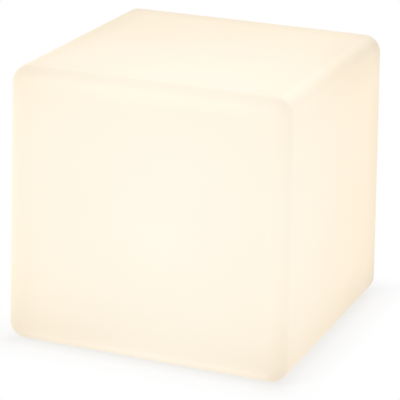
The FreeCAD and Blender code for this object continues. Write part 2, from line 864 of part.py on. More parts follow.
print("cover hinge at", hinge_x, socket_place[1], hinge_level)
print("socket at", socket_place, "mouth from", socket_entry_top, "to", pin_bottom)
print("cover's nub reaches", cover_top + cover_nub_length)
print("recess radius", recess_radius, "lowest fitting", cover_top - cover_thickness)
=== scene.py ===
import json
import math

import bmesh
import bpy
from mathutils import Matrix, Vector


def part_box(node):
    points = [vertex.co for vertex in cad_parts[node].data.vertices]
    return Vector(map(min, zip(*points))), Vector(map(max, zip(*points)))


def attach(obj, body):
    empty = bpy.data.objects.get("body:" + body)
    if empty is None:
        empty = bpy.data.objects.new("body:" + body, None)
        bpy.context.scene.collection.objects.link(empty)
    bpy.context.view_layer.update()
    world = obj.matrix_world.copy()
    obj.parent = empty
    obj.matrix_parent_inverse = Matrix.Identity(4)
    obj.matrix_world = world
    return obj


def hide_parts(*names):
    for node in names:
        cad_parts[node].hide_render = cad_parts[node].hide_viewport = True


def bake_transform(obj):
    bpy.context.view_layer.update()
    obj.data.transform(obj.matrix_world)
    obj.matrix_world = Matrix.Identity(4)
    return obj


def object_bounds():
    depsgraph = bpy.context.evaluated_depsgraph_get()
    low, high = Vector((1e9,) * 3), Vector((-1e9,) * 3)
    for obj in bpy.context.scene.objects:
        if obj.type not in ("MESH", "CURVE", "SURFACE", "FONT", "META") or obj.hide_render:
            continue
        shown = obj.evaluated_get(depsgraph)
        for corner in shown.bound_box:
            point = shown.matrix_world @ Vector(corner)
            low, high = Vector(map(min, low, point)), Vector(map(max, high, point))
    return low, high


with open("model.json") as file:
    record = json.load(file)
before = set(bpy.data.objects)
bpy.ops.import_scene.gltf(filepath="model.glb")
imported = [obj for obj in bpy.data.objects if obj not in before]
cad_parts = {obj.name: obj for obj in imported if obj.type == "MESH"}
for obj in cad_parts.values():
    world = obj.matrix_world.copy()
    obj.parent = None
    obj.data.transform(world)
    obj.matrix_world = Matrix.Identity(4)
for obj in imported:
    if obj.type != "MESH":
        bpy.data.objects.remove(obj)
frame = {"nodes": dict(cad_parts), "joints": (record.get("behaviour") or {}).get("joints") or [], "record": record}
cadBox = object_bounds()
mm = 0.001
weld = 0.001 * mm       # points closer together than this are one point
print("frame loaded with", len(frame["nodes"]), "nodes")


# Node graphs

class Wire:
    # an output socket: sums, differences, products and quotients of wires add Math nodes
    def __init__(self, graph, socket):
        self.graph = graph
        self.socket = socket

    def at(self, operation, *others):
        values = dict(enumerate((self,) + others))
        return self.graph.node("ShaderNodeMath", {"operation": operation}, values)

    def under(self, operation, first):
        return self.graph.node("ShaderNodeMath", {"operation": operation}, {0: first, 1: self})

    def __add__(self, other):
        return self.at("ADD", other)

    def __sub__(self, other):
        return self.at("SUBTRACT", other)

    def __mul__(self, other):
        return self.at("MULTIPLY", other)

    def __truediv__(self, other):
        return self.at("DIVIDE", other)

    def __radd__(self, other):
        return self.under("ADD", other)

    def __rsub__(self, other):
        return self.under("SUBTRACT", other)

    def __rmul__(self, other):
        return self.under("MULTIPLY", other)


class Graph:
    def __init__(self, tree):
        self.tree = tree

    def node(self, kind, settings=None, sockets=None, output=0):
        made = self.tree.nodes.new(kind)
        for name, value in (settings or {}).items():
            setattr(made, name, value)
        for name, value in (sockets or {}).items():
            if isinstance(value, Wire):
                self.tree.links.new(value.socket, made.inputs[name])
            else:
                made.inputs[name].default_value = value
        return Wire(self, made.outputs[output]) if made.outputs else None


def screenColour(red, green, blue):
    # a colour as a screen shows it, 0 to 255, as the linear one that sockets take
    def linear(value):
        share = value / 255
        return share / 12.92 if share <= 0.04045 else ((share + 0.055) / 1.055) ** 2.4
    return (linear(red), linear(green), linear(blue), 1.0)


def blended(graph, factor, first, second):
    return graph.node("ShaderNodeMix", {"data_type": "RGBA"}, {0: factor, 6: first, 7: second}, 2)


def dimmed(graph, colour, amount):
    base = colour if isinstance(colour, Wire) else colour[:3]
    return graph.node("ShaderNodeVectorMath", {"operation": "SCALE"}, {0: base, "Scale": amount})


def objectPlace(graph):
    return graph.node("ShaderNodeTexCoord", output="Object")


def axesOf(graph, place):
    return [graph.node("ShaderNodeSeparateXYZ", None, {0: place}, axis) for axis in range(3)]


def stretched(graph, place, scale, turn=(0.0, 0.0, 0.0)):
    return graph.node("ShaderNodeMapping", None, {"Vector": place, "Rotation": turn, "Scale": scale})


def cloud(graph, place, size, detail=3.0):
    # smooth random values around 0.5, in lumps of about that size
    return graph.node("ShaderNodeTexNoise", None, {"Vector": place, "Scale": 1 / size, "Detail": detail})


def eased(graph, value, start, end, low=0.0, high=1.0):
    sockets = {0: value, 1: start, 2: end, 3: low, 4: high}
    return graph.node("ShaderNodeMapRange", {"interpolation_type": "SMOOTHSTEP"}, sockets)


def bumped(graph, height, depth, under=None):
    sockets = {"Height": height, "Distance": depth}
    if under is not None:
        sockets["Normal"] = under
    return graph.node("ShaderNodeBump", None, sockets)


def newMaterial(name):
    material = bpy.data.materials.new(name)
    material.use_nodes = True
    material.node_tree.nodes.clear()
    return material, Graph(material.node_tree)


def surfaced(material, graph, sockets):
    skin = graph.node("ShaderNodeBsdfPrincipled", None, sockets)
    graph.node("ShaderNodeOutputMaterial", None, {"Surface": skin})
    return material


# Shapes

def addObject(name, mesh):
    made = bpy.data.objects.new(name, mesh)
    bpy.context.scene.collection.objects.link(made)
    return made


def meshOf(name, points, faces):
    mesh = bpy.data.meshes.new(name)
    mesh.from_pydata(points, [], faces)
    mesh.validate()
    return mesh


def softened(corners, steps=5):
    # a closed outline from (across, up, corner radius), with an arc at each corner that has a radius
    outline = []
    for index, (across, up, radius) in enumerate(corners):
        here = Vector((across, up))
        if not radius:
            outline.append(here)
            continue
        back = (Vector(corners[index - 1][:2]) - here).normalized()
        ahead = (Vector(corners[(index + 1) % len(corners)][:2]) - here).normalized()
        half = back.angle(ahead) / 2
        centre = here + (back + ahead).normalized() * radius / math.sin(half)
        start = here + back * radius / math.tan(half) - centre
        end = here + ahead * radius / math.tan(half) - centre
        for step in range(steps + 1):
            outline.append(centre + start.lerp(end, step / steps).normalized() * radius)
    return outline


def turned(name, corners, place=(0.0, 0.0), steps=96):
    # a solid of revolution about the upright line through place
    points = []
    rings = []
    for radius, height in softened(corners):
        count = steps if radius > weld else 1
        rings.append([len(points) + index for index in range(count)])
        for index in range(count):
            angle = 2 * math.pi * index / steps
            points.append((place[0] + radius * math.cos(angle), place[1] + radius * math.sin(angle), height))
    faces = []
    for low, high in zip(rings, rings[1:] + rings[:1]):
        if len(low) == len(high) == 1:
            continue
        for index in range(steps):
            after = (index + 1) % steps
            corner = [low[index % len(low)], low[after % len(low)],
                      high[after % len(high)], high[index % len(high)]]
            faces.append(list(dict.fromkeys(corner)))
    return addObject(name, meshOf(name, points, faces))


def swept(name, section, stations, y=0.0):
    # a bar along X: the section is a closed outline in (across, up), placed at each (x, width share) station
    points = []
    for x, scale in stations:
        points += [(x, y + across * scale, up) for across, up in section]
    count = len(section)
    faces = [list(range(count))[::-1], list(range(len(points) - count, len(points)))]
    for station in range(len(stations) - 1):
        first = station * count
        for index in range(count):
            after = (index + 1) % count
            faces.append([first + index, first + after, first + after + count, first + index + count])
    return addObject(name, meshOf(name, points, faces))


def combined(piece, other, operation):
    # a boolean of two closed solids; the second one is used up
    carve = piece.modifiers.new("carve", "BOOLEAN")
    carve.solver = "MANIFOLD"
    carve.operation = operation
    carve.object = other
    evaluated = piece.evaluated_get(bpy.context.evaluated_depsgraph_get())
    mesh = bpy.data.meshes.new_from_object(evaluated)
    piece.modifiers.remove(carve)
    piece.data = mesh
    bpy.data.objects.remove(other)
    return piece


def dressed(piece, slot, body="housing", sharpFrom=32):
    # outward faces, soft shading between sharp edges, the slot's material, and a body to ride on
    shape = bmesh.new()
    shape.from_mesh(piece.data)
    bmesh.ops.remove_doubles(shape, verts=shape.verts, dist=weld)
    bmesh.ops.recalc_face_normals(shape, faces=shape.faces)
    for face in shape.faces:
        face.smooth = True
        face.material_index = 0
    for edge in shape.edges:
        edge.smooth = len(edge.link_faces) == 2 and edge.calc_face_angle() < math.radians(sharpFrom)
    shape.to_mesh(piece.data)
    shape.free()
    piece.data.materials.clear()
    piece.data.materials.append(materials[slot])
    if body:
        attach(piece, body)


def middleOf(node):
    # the middle of a CAD node's box, seen from above
    low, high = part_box(node)
    return ((low.x + high.x) / 2, (low.y + high.y) / 2)


# Geometry Nodes

def newTree(name, sizes):
    tree = bpy.data.node_groups.new(name, "GeometryNodeTree")
    tree.interface.new_socket("Shape", in_out="OUTPUT", socket_type="NodeSocketGeometry")
    for label, kind in {**sizes, "Material": "Material"}.items():
        tree.interface.new_socket(label, in_out="INPUT", socket_type="NodeSocket" + kind)
    graph = Graph(tree)
    entry = tree.nodes.new("NodeGroupInput")
    return graph, {item.name: Wire(graph, item) for item in entry.outputs if item.name}


def closeTree(graph, shape, material):
    realized = graph.node("GeometryNodeRealizeInstances", None, {"Geometry": shape})
    coated = graph.node("GeometryNodeSetMaterial", None, {"Geometry": realized, "Material": material})
    graph.node("NodeGroupOutput", None, {0: coated})
    return graph.tree


def grown(name, tree, values):
    # the tree's result as a plain mesh object
    piece = addObject(name, bpy.data.meshes.new(name))
    modifier = piece.modifiers.new("grow", "NODES")
    modifier.node_group = tree
    for item in tree.interface.items_tree:
        if item.in_out == "INPUT":
            modifier[item.identifier] = values[item.name]
    evaluated = piece.evaluated_get(bpy.context.evaluated_depsgraph_get())
    mesh = bpy.data.meshes.new_from_object(evaluated)
    piece.modifiers.remove(modifier)
    piece.data = mesh
    return piece


def ringTree():
    # copies of a piece round an upright axis, each turned with its place
    sizes = {"Piece": "Object", "Count": "Int", "Radius": "Float", "Centre": "Vector"}
    graph, given = newTree("ring", sizes)
    sockets = {"Vertices": given["Count"], "Radius": given["Radius"]}
    circle = graph.node("GeometryNodeMeshCircle", None, sockets)
    index = graph.node("GeometryNodeInputIndex")
    angle = index * (2 * math.pi) / given["Count"]
    turn = graph.node("FunctionNodeAxisAngleToRotation", None, {"Angle": angle})
    shape = graph.node("GeometryNodeObjectInfo", None, {"Object": given["Piece"]}, "Geometry")
    sockets = {"Points": circle, "Instance": shape, "Rotation": turn}
    copies = graph.node("GeometryNodeInstanceOnPoints", None, sockets)
    placed = graph.node("GeometryNodeTransform", None, {"Geometry": copies, "Translation": given["Centre"]})
    return closeTree(graph, placed, given["Material"])


def gridTree():
    # copies of a piece at the points of a flat grid
    sizes = {"Piece": "Object", "Across": "Int", "Along": "Int", "Width": "Float", "Length": "Float",
             "Centre": "Vector"}
    graph, given = newTree("grid", sizes)
    sockets = {"Size X": given["Width"], "Size Y": given["Length"], "Vertices X": given["Across"],
               "Vertices Y": given["Along"]}
    grid = graph.node("GeometryNodeMeshGrid", None, sockets)
    shape = graph.node("GeometryNodeObjectInfo", None, {"Object": given["Piece"]}, "Geometry")
    copies = graph.node("GeometryNodeInstanceOnPoints", None, {"Points": grid, "Instance": shape})
    placed = graph.node("GeometryNodeTransform", None, {"Geometry": copies, "Translation": given["Centre"]})
    return closeTree(graph, placed, given["Material"])


def blockTree():
    # a block with leaning sides, rounded edges and slightly crowned faces, from a subdivided cube
    sizes = {"Steps": "Int", "Half width": "Float", "Half height": "Float", "Middle": "Float",
             "Edge radius": "Float", "Lean": "Float", "Crown": "Float"}
    graph, given = newTree("block", sizes)
    count = given["Steps"]
    sockets = {"Size": (2, 2, 2), "Vertices X": count, "Vertices Y": count, "Vertices Z": count}
    cube = graph.node("GeometryNodeMeshCube", None, sockets)
    spread = axesOf(graph, graph.node("GeometryNodeInputPosition"))
    halves = (given["Half width"], given["Half width"], given["Half height"])
    radius = given["Edge radius"]
    flatShare = 0.5                     # share of the grid that lies on the flat of a face
    onFace = 0.999                      # the cube's half is 1, and points beyond this lie on a face
    cores = []
    beyond = []
    for along, half in zip(spread, halves):
        reach = along.at("ABSOLUTE")
        side = along.at("SIGN")
        bend = (reach - flatShare).at("MAXIMUM", 0) * (math.pi / 4 / (1 - flatShare))
        cores.append((reach / flatShare).at("MINIMUM", 1) * (half - radius) * side)
        beyond.append(bend.at("TANGENT") * radius * side)
    length = (beyond[0] * beyond[0] + beyond[1] * beyond[1] + beyond[2] * beyond[2]).at("SQRT")
    rounded = [core + past * radius / length for core, past in zip(cores, beyond)]
    level = [1 - (core / half) * (core / half) for core, half in zip(cores, halves)]
    onSide = [along.at("ABSOLUTE").at("GREATER_THAN", onFace) * along.at("SIGN") for along in spread[:2]]
    onTop = spread[2].at("GREATER_THAN", onFace)
    narrowing = 1 - given["Lean"] * (rounded[2] + given["Half height"]) / given["Half width"]
    x = (rounded[0] + onSide[0] * given["Crown"] * level[1] * level[2]) * narrowing
    y = (rounded[1] + onSide[1] * given["Crown"] * level[0] * level[2]) * narrowing
    z = rounded[2] + onTop * given["Crown"] * level[0] * level[1] + given["Middle"]
    place = graph.node("ShaderNodeCombineXYZ", None, {0: x, 1: y, 2: z})
    moved = graph.node("GeometryNodeSetPosition", None, {"Geometry": cube, "Position": place})
    return closeTree(graph, moved, given["Material"])


ring = ringTree()
grid = gridTree()
block = blockTree()
print("node trees built")


# Materials: the shell's own, and one kind for each sort of part; distances along the glow are in metres

shellLook = {
    "glow": screenColour(220, 213, 197), "farGlow": screenColour(224, 206, 177),
    "reflect": (0.30, 0.29, 0.27, 1.0), "reflectSpread": 0.1, "blotchSize": 110 * mm, "unevenness": 0.008,
    # brightest is the middle of a painted pool of light on the front; far from it the glow gets painted shade and
    # a warmer colour
    "brightest": (0.04, -0.2, 0.23), "glowReach": 0.44, "lowHeight": 0.12, "lowWarmth": 0.02,
    # the edge values paint shade and warmth on edges and corners far from the brightest spot, and painted light on
    # the rounded edges near it
    "edgeFrom": 0.16, "edgeTo": 0.42, "edgeWarmth": 0.4, "edgeGain": 0.045,
    "edgeBand": 24 * mm,                # its effects start and end at the shares of it that follow
    "edgeShares": (-3.0, -0.2), "roundShares": (-1.5, -0.3), "footShare": 1.1, "topShare": 0.1,
    # painted shade in the glow: low down, a painted contact shade at the foot, on the top, far from the brightest
    # spot, and on edges and corners
    "paintedShade": {"far": 0.05, "low": 0.05, "foot": 0.13, "top": 0.03, "topFar": 0.08,
             "edge": 0.1, "corner": 0.12},
    "roughness": 0.5, "roughSpread": 0.1, "specular": 0.25, "peelSize": 2.2 * mm, "peelDepth": 0.05 * mm,
    "waveSize": 90 * mm, "waveDepth": 0.4 * mm,
}
pattern = {
    "flow": 14 * mm, "flowDepth": 0.05 * mm, "ridgeShade": 0.12, "bloom": 9 * mm, "smudge": 5 * mm,
    "run": 9 * mm, "pad": 4.2 * mm, "weave": 1.2 * mm, "boardDepth": 0.04 * mm,
    "fold": 6 * mm, "foldDepth": 0.12 * mm, "sleeveEdge": 0.3 * mm,
    "speckle": 0.4 * mm, "speckleDepth": 0.02 * mm, "lensEdge": 0.1 * mm,
}


def whereSidesMeet(graph, reach, start, end):
    # 0 to 1 towards the edges, and towards the corners, from how far a point lies beyond each pair of sides
    near = [eased(graph, value, start, end) for value in reach]
    pairs = [near[0] * near[1], near[1] * near[2], near[2] * near[0]]
    return pairs[0].at("MAXIMUM", pairs[1]).at("MAXIMUM", pairs[2]), pairs[0] * near[2]


def shellPolyethylene(look, low, high):
    # glows by itself, with painted light and shade in the glow: whitest in a painted pool of light near one spot,
    # warmer and a little dimmer far from it and low down as painted shade, with painted shade at the foot, on the
    # top, edges and corners
    material, graph = newMaterial("shellPolyethylene")
    place = objectPlace(graph)
    x, y, z = axesOf(graph, place)
    sockets = {0: place, 1: look["brightest"]}
    away = graph.node("ShaderNodeVectorMath", {"operation": "DISTANCE"}, sockets, "Value")
    # painted pool of light round the brightest spot, with painted shade and warmth further off
    far = eased(graph, away, 0.0, look["glowReach"])
    ground = eased(graph, z, look["lowHeight"], 0.0)
    band = look["edgeBand"]
    # painted contact shade on the rounded lower edge
    foot = eased(graph, z, look["footShare"] * band, 0.0)
    # painted shade on the top
    onTop = eased(graph, z, high.z - band, high.z - look["topShare"] * band)
    reach = [(axis - centre).at("ABSOLUTE") - size
             for axis, centre, size in zip((x, y, z), (low + high) / 2, (high - low) / 2)]
    # painted shade on edges and corners; painted light on the rounded edges near the brightest spot
    edge, corner = whereSidesMeet(graph, reach, *(share * band for share in look["edgeShares"]))
    roundedEdge = whereSidesMeet(graph, reach, *(share * band for share in look["roundShares"]))[0]
    remote = eased(graph, away, look["edgeFrom"], look["edgeTo"])
    uneven = cloud(graph, place, look["blotchSize"], 2.0) - 0.5
    # the painted shade taken off the glow, less the painted light on the rounded edges near the brightest spot
    part = look["paintedShade"]
    paintedShade = ground * part["low"] + foot * part["foot"] + onTop * part["top"]
    paintedShade = paintedShade - roundedEdge * (1 - remote) * look["edgeGain"]
    paintedShade = paintedShade + far * (part["far"] + onTop * part["topFar"])
    paintedShade = paintedShade + remote * (edge * part["edge"] + corner * part["corner"])
    warmth = far + ground * look["lowWarmth"] + edge * remote * look["edgeWarmth"]
    light = blended(graph, warmth, look["glow"], look["farGlow"])
    peel = cloud(graph, place, look["peelSize"], 2.0)
    wave = cloud(graph, place, look["waveSize"], 1.0)
    return surfaced(material, graph, {
        "Base Color": dimmed(graph, look["reflect"], 1 + uneven * look["reflectSpread"]),
        "Roughness": look["roughness"] + (peel - 0.5) * look["roughSpread"],
        "Specular IOR Level": look["specular"],
        "Emission Color": dimmed(graph, light, 1 - paintedShade + uneven * look["unevenness"]),
        "Emission Strength": 1.0,
        "Normal": bumped(graph, peel, look["peelDepth"], bumped(graph, wave, look["waveDepth"])),
    })


def mouldedPlastic(name, look):
    # fine pits with slightly darker ridges between them, and faint flow marks
    material, graph = newMaterial(name)
    place = objectPlace(graph)
    pits = graph.node("ShaderNodeTexVoronoi", None, {"Vector": place, "Scale": 1 / look["grain"]})
    flow = cloud(graph, stretched(graph, place, (1.0, 0.35, 1.0)), pattern["flow"])
    ridges = eased(graph, pits, 0.1, 0.55) * pattern["ridgeShade"]
    darker = dimmed(graph, look["colour"], 0.82 + flow * 0.2)
    return surfaced(material, graph, {
        "Base Color": blended(graph, ridges, dimmed(graph, look["colour"], 0.9 + flow * 0.2), darker),
        "Roughness": look["roughness"] + (flow - 0.5) * 0.12,
        "Normal": bumped(graph, pits, look["depth"], bumped(graph, flow, pattern["flowDepth"])),
    })


def softRubber(name, look):
    # matt, with a bloom of lighter dust and a very fine grain
    material, graph = newMaterial(name)
    place = objectPlace(graph)
    grain = cloud(graph, place, look["grain"], 4.0)
    bloom = eased(graph, cloud(graph, place, pattern["bloom"]), 0.35, 0.75)
    return surfaced(material, graph, {
        "Base Color": blended(graph, bloom * 0.6, look["colour"], look["bloom"]),
        "Roughness": look["roughness"] + bloom * 0.08,
        "Sheen Weight": 0.15,
        "Normal": bumped(graph, grain, look["depth"]),
    })


def workedMetal(name, look):
    # fine straight tool lines, drawn out along the axes with the smaller scales, and smudges
    material, graph = newMaterial(name)
    place = objectPlace(graph)
    lines = cloud(graph, stretched(graph, place, look["lines"]), 1.0, 2.0)
    smudge = cloud(graph, place, pattern["smudge"])
    return surfaced(material, graph, {
        "Base Color": dimmed(graph, look["colour"], 0.86 + lines * 0.18 + smudge * 0.08),
        "Metallic": 1.0,
        "Roughness": look["roughness"] + (smudge - 0.5) * 0.16 + (lines - 0.5) * 0.1,
        "Normal": bumped(graph, lines, look["depth"]),
    })


def circuitBoard(name, look):
    # solder mask over copper runs, with plated pads and the weave of the sheet under it
    material, graph = newMaterial(name)
    place = objectPlace(graph)
    sockets = {"Vector": stretched(graph, place, (1.0, 1.0, 0.0), (0.0, 0.0, math.radians(45))),
               "Scale": 1 / pattern["run"], "Mortar Size": 0.045, "Mortar Smooth": 0.3}
    runs = graph.node("ShaderNodeTexBrick", None, sockets, "Fac")
    flat = stretched(graph, place, (1.0, 1.0, 0.0))
    sockets = {"Vector": flat, "Scale": 1 / pattern["pad"], "Randomness": 0.35}
    pads = eased(graph, graph.node("ShaderNodeTexVoronoi", None, sockets), 0.13, 0.1)
    sockets = {"Vector": flat, "Scale": 1 / pattern["weave"], "Distortion": 0.4}
    weave = graph.node("ShaderNodeTexWave", None, sockets, "Fac")
    mask = blended(graph, runs * 0.55, look["mask"], look["run"])
    return surfaced(material, graph, {
        "Base Color": blended(graph, pads, mask, look["pad"]),
        "Metallic": pads * 0.8,
        "Roughness": 0.34 + weave * 0.06 - pads * 0.06,
        "Normal": bumped(graph, runs + pads * 0.6 + weave * 0.05, pattern["boardDepth"]),
    })


def clearPlastic(name, look):
    # a light guide or a frosted dome
    material, graph = newMaterial(name)
    place = objectPlace(graph)
    frost = cloud(graph, place, look["grain"], 3.0)
    return surfaced(material, graph, {
        "Base Color": dimmed(graph, look["colour"], 0.94 + frost * 0.12),
        "Roughness": look["roughness"] + (frost - 0.5) * 0.1,
        "Alpha": look["cover"],
        "Normal": bumped(graph, frost, look["depth"]),
    })


def cellSleeve(name, look):
    # a shrink sleeve that stops short of the bare steel ends
    material, graph = newMaterial(name)
    place = objectPlace(graph)
    x = axesOf(graph, place)[0]
    bare = eased(graph, x.at("ABSOLUTE"), look["sleeveHalf"], look["sleeveHalf"] + pattern["sleeveEdge"])
    folds = cloud(graph, stretched(graph, place, (0.25, 1.0, 1.0)), pattern["fold"])
    sleeve = dimmed(graph, look["colour"], 0.88 + folds * 0.24)
    return surfaced(material, graph, {
        "Base Color": blended(graph, bare, sleeve, look["can"]),
        "Metallic": bare,
        "Roughness": 0.34 + folds * 0.1,
        "Normal": bumped(graph, folds, pattern["foldDepth"]),
    })


def ledPackage(name, look):
    # yellow phosphor on the raised lens of each chip, over a white case
    material, graph = newMaterial(name)
    place = objectPlace(graph)
    z = axesOf(graph, place)[2]
    speckle = cloud(graph, place, pattern["speckle"])
    lens = eased(graph, z, look["lensFrom"], look["lensFrom"] + pattern["lensEdge"])
    phosphor = dimmed(graph, look["phosphor"], 0.85 + speckle * 0.3)
    return surfaced(material, graph, {
        "Base Color": blended(graph, lens, look["case"], phosphor),
        "Roughness": 0.5 - lens * 0.25,
        "Normal": bumped(graph, speckle, pattern["speckleDepth"]),
    })


plasticLooks = {
    "base_plastic": {"colour": screenColour(243, 241, 237), "roughness": 0.55, "grain": 0.9 * mm,
                     "depth": 0.07 * mm},
    "clamp_plastic": {"colour": screenColour(238, 238, 235), "roughness": 0.5, "grain": 1.2 * mm,
                      "depth": 0.04 * mm},
    "cradle_plastic": {"colour": screenColour(96, 96, 99), "roughness": 0.6, "grain": 1.0 * mm,
                       "depth": 0.06 * mm},
    "chip_black": {"colour": screenColour(74, 75, 78), "roughness": 0.5, "grain": 0.35 * mm,
                   "depth": 0.015 * mm},
    "connector_white": {"colour": screenColour(244, 243, 238), "roughness": 0.36, "grain": 1.6 * mm,
                        "depth": 0.02 * mm},
    "button_plastic": {"colour": screenColour(194, 194, 192), "roughness": 0.42, "grain": 0.6 * mm,
                       "depth": 0.03 * mm},
    "plunger_plastic": {"colour": screenColour(124, 124, 126), "roughness": 0.35, "grain": 1.5 * mm,
                        "depth": 0.02 * mm},
    "switch_black": {"colour": screenColour(84, 84, 88), "roughness": 0.45, "grain": 0.4 * mm,
                     "depth": 0.015 * mm},
    "socket_black": {"colour": screenColour(76, 76, 80), "roughness": 0.3, "grain": 1.3 * mm,
                     "depth": 0.02 * mm},
    "vent_plastic": {"colour": screenColour(202, 202, 199), "roughness": 0.55, "grain": 0.7 * mm,
                     "depth": 0.04 * mm},
    "vent_film": {"colour": screenColour(248, 248, 248), "roughness": 0.9, "grain": 0.25 * mm,
                  "depth": 0.05 * mm},
}
rubberLooks = {
    "foot_rubber": {"colour": screenColour(224, 222, 218), "bloom": screenColour(232, 231, 228),
                    "roughness": 0.78, "grain": 0.5 * mm, "depth": 0.06 * mm},
    "seal_rubber": {"colour": screenColour(204, 204, 201), "bloom": screenColour(216, 216, 214),
                    "roughness": 0.7, "grain": 0.6 * mm, "depth": 0.04 * mm},
    "cover_rubber": {"colour": screenColour(209, 209, 206), "bloom": screenColour(222, 222, 219),
                     "roughness": 0.66, "grain": 0.45 * mm, "depth": 0.035 * mm},
    "lead_red": {"colour": screenColour(217, 80, 70), "bloom": screenColour(226, 104, 94),
                 "roughness": 0.55, "grain": 0.8 * mm, "depth": 0.02 * mm},
    "lead_black": {"colour": screenColour(70, 70, 70), "bloom": screenColour(86, 86, 86),
                   "roughness": 0.55, "grain": 0.8 * mm, "depth": 0.02 * mm},
}
metalLooks = {
    "screw_steel": {"colour": screenColour(220, 220, 218), "roughness": 0.3, "lines": (400, 400, 2600),
                    "depth": 0.02 * mm},
    "insert_brass": {"colour": screenColour(228, 205, 153), "roughness": 0.3, "lines": (1500, 1500, 60),
                     "depth": 0.06 * mm},
    "spreader_aluminium": {"colour": screenColour(229, 231, 232), "roughness": 0.34, "lines": (60, 1800, 60),
                           "depth": 0.02 * mm},
    "strap_steel": {"colour": screenColour(218, 218, 218), "roughness": 0.36, "lines": (1600, 50, 50),
                    "depth": 0.02 * mm},
    "socket_metal": {"colour": screenColour(227, 225, 221), "roughness": 0.22, "lines": (500, 500, 1500),
                     "depth": 0.01 * mm},
}
boardLooks = {
    "board_white": {"mask": screenColour(247, 247, 245), "run": screenColour(233, 233, 230),
                    "pad": screenColour(214, 214, 212)},
    "board_green": {"mask": screenColour(44, 132, 84), "run": screenColour(66, 158, 104),
                    "pad": screenColour(228, 212, 150)},
}
clearLooks = {
    "dome_plastic": {"colour": screenColour(248, 248, 246), "roughness": 0.5, "cover": 0.6, "grain": 0.7 * mm,
                     "depth": 0.03 * mm},
    "window_clear": {"colour": screenColour(243, 246, 243), "roughness": 0.12, "cover": 0.5, "grain": 3 * mm,
                     "depth": 0.01 * mm},
}
shellLow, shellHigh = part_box("cube_shell")
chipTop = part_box("led_chips")[1].z
materials = {"shell_plastic": shellPolyethylene(shellLook, shellLow, shellHigh)}
for makeMaterial, looks in (
    (mouldedPlastic, plasticLooks),
    (softRubber, rubberLooks),
    (workedMetal, metalLooks),
    (circuitBoard, boardLooks),
    (clearPlastic, clearLooks),
):
    for slot, look in looks.items():
        materials[slot] = makeMaterial(slot, look)
materials["cell_wrap"] = cellSleeve("cell_wrap", {
    "colour": screenColour(89, 162, 206), "can": screenColour(205, 205, 204), "sleeveHalf": 29.5 * mm,
})
materials["led_package"] = ledPackage("led_package", {
    "case": screenColour(248, 247, 243), "phosphor": screenColour(249, 222, 130),
    "lensFrom": chipTop - 0.3 * mm,
})
for part in frame["record"]["subparts"]:
    node = frame["nodes"][part["node"]]
    node.data.materials.clear()
    node.data.materials.append(materials[part["material_slot"]])
print("materials:", len(materials))


# Shell: a hollow block with a stepped recess, dimples for the feet and bosses for the screws

shell = {
    "lean": 0.9, "edgeRadius": 24 * mm, "wall": 3.5 * mm, "crown": 0.5 * mm, "steps": 41, "innerSteps": 17,
    "recessGap": 1.5 * mm, "rimRadius": 4 * mm, "openingGap": 2 * mm, "footGap": 1 * mm,
    "insertRadius": 2.8 * mm, "bossWall": 5.2 * mm, "bossCap": 5 * mm, "holeSpare": 3 * mm, "past": 1 * mm,
    "touch": 0.02 * mm,
}
screwCount = 6
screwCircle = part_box("threaded_inserts")[1].x - shell["insertRadius"]


def rodOf(name, radius, low, high, steps=64):
    return turned(name, [(0, low, 0), (radius, low, 0), (radius, high, 0), (0, high, 0)], steps=steps)


def repeated(name, tree, piece, slot, values):
    # copies of a piece by one of the trees; the piece itself is used up
    made = grown(name, tree, {"Piece": piece, "Material": materials[slot], **values})
    bpy.data.objects.remove(piece)
    return made


def ringOf(name, piece, count, radius, slot, centre=(0.0, 0.0, 0.0)):
    return repeated(name, ring, piece, slot, {"Count": count, "Radius": radius, "Centre": centre})


def rowsOf(name, piece, across, along, width, length, slot, centre=(0.0, 0.0, 0.0)):
    return repeated(name, grid, piece, slot, {
        "Across": across, "Along": along, "Width": width, "Length": length, "Centre": centre,
    })


def shellBlock(name, inset, steps):
    leanShare = math.tan(math.radians(shell["lean"]))
    radius = shell["edgeRadius"]
    halfAtFoot = shellHigh.x + leanShare * radius
    return grown(name, block, {
        "Steps": steps, "Half width": halfAtFoot - inset * (1 + leanShare),
        "Half height": (shellHigh.z - shellLow.z) / 2 - inset, "Middle": (shellHigh.z + shellLow.z) / 2,
        "Edge radius": radius - inset, "Lean": leanShare, "Crown": shell["crown"],
        "Material": materials["shell_plastic"],
    })


